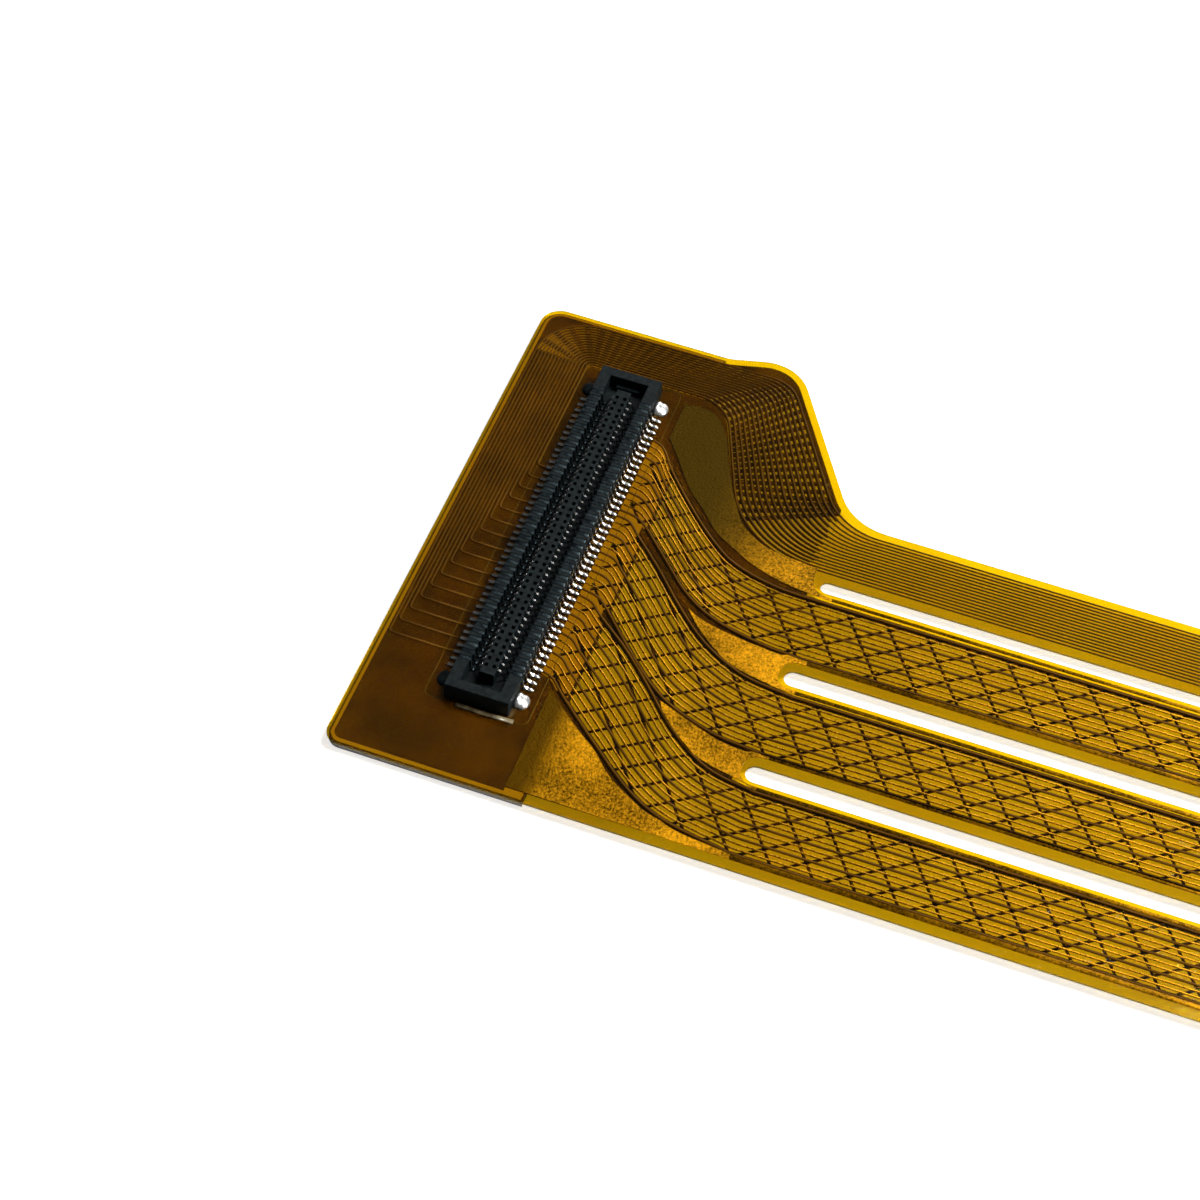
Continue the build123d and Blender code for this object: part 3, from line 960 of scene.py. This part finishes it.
# %% [markdown]
# ## Small marks of manufacture
# The cover coat is open over the pads, and the edge of that window shows as a fine step. A pale line of
# glue lies along the foot of one end wall.

# %% Window edge and glue line
window = rounded(
    [at(*c) for c in [(0, 10.95), (-2.45, 10.95), (-2.45, -10.75), (2.45, -10.75), (2.45, 10.95), (0, 10.95)]],
    [0.3, 0.3, 0.3, 0.3], 4,
)
mesh = ridges("window", [(window, 0.035)], line_base, film_top + 0.012)
both_ends("coat_window_edge", mesh, ground_copper)
glue = [at(-0.9, -10.78), at(0.4, -10.8), at(1.85, -10.76)]
mesh = ridges("glue", [(glue, 0.26)], line_base, film_top + 0.05)
both_ends("glue_line", mesh, pale_glue)

# %% [markdown]
# ## Table, light and camera
# The cable lies on a plain white table. A lamp at the right lights the lines' flanks, one stands high behind,
# and a weak one lies low behind, so the shadow falls to the front left. The sky is dim and keeps polished
# copper dark, as in a dark room. Seen directly it is white. A lamp below the table is for views of the
# underside: there the table lets the camera look through.

# %% Table
# Its glow depends on what looks at it: the camera sees it close to white, whiter further off. Seen through the
# film it glows less, most of all under the heads: painted light that stands in for light coming down through the
# film, brighter towards the cable's middle.
bpy.ops.mesh.primitive_plane_add(size=4, location=(0, 0, -0.00002))
table = bpy.context.object
table.name = "table"
white, shader = finish_of(
    "white_table",
    Base_Color=(0.93, 0.93, 0.93, 1),
    Roughness=0.6,
    Specular_IOR_Level=0.1,
    Emission_Color=(1, 1, 1, 1),
)
tree = white.node_tree
paths = add_node(tree, "ShaderNodeLightPath")
spot = add_node(tree, "ShaderNodeTexCoord").outputs["Object"]
along = add_node(tree, "ShaderNodeSeparateXYZ", {"Vector": spot}).outputs["X"]
painted_light_under_film = ranged(tree, worked_out(tree, "ABSOLUTE", along), 0.034, 0.01, 0.24, 0.46)
away = add_node(tree, "ShaderNodeVectorMath", {0: spot}, operation="LENGTH").outputs["Value"]
seen = worked_out(tree, "MULTIPLY", paths.outputs["Is Camera Ray"], ranged(tree, away, 0.07, 0.3, 0.72, 1.0))
glow = worked_out(tree, "MULTIPLY_ADD", paths.outputs["Is Transmission Ray"], painted_light_under_film, seen)
tree.links.new(glow, shader.inputs["Emission Strength"])
from_below = add_node(tree, "ShaderNodeNewGeometry").outputs["Backfacing"]
tree.links.new(worked_out(tree, "SUBTRACT", 1.0, from_below), shader.inputs["Alpha"])
table.data.materials.append(white)
table.visible_shadow = False
print("table:", table.name, "in", white.name)

# %% Lamps and sky
AIM, DIM = Vector((-0.03, 0, 0)), 0.035


def lamp(name, place, size, power):
    """A round lamp that points at the near end."""
    light = bpy.data.lights.new(name, "AREA")
    light.shape, light.size, light.energy = "DISK", size, power
    holder = bpy.data.objects.new(name, light)
    holder.location = place
    holder.rotation_euler = (AIM - Vector(place)).to_track_quat("-Z", "Y").to_euler()
    bpy.context.scene.collection.objects.link(holder)


lamp("side_lamp", (0.2, 0.06, 0.26), 0.08, 0.9)
lamp("high_lamp", (0.07, 0.17, 0.34), 0.12, 0.6)
lamp("low_back_lamp", (0.0, 0.31, 0.1), 0.1, 0.2)
lamp("lamp_below_table", (0.05, -0.12, -0.3), 0.12, 0.5)
world = bpy.data.worlds.new("dim_sky")
world.use_nodes = True
sky = world.node_tree.nodes["Background"]
sky.inputs["Color"].default_value = (1, 1, 1, 1)
paths = add_node(world.node_tree, "ShaderNodeLightPath")
strength = worked_out(world.node_tree, "MULTIPLY_ADD", paths.outputs["Is Camera Ray"], 1 - DIM, DIM)
world.node_tree.links.new(strength, sky.inputs["Strength"])
bpy.context.scene.world = world
print("lamps:", [light.name for light in bpy.data.lights])

# %% Camera, fitted to the 45 contacts of the photographed row
camera = bpy.data.objects.new("camera", bpy.data.cameras.new("camera"))
camera.data.sensor_width = 36
camera.data.lens = 89.929
camera.data.clip_start = 0.005
right = Vector((0.94103328, 0.33412279, 0.05308793))
ahead = Vector((-0.17446912, 0.61372371, -0.77000243))
turn = Matrix((right, right.cross(ahead), -ahead)).transposed()
camera.matrix_world = Matrix.Translation((-0.0080276, -0.0868224, 0.1059713)) @ turn.to_4x4()
bpy.context.scene.collection.objects.link(camera)
bpy.context.scene.camera = camera
bpy.context.scene.view_settings.view_transform = "Standard"
print("camera lens:", camera.data.lens, "mm")
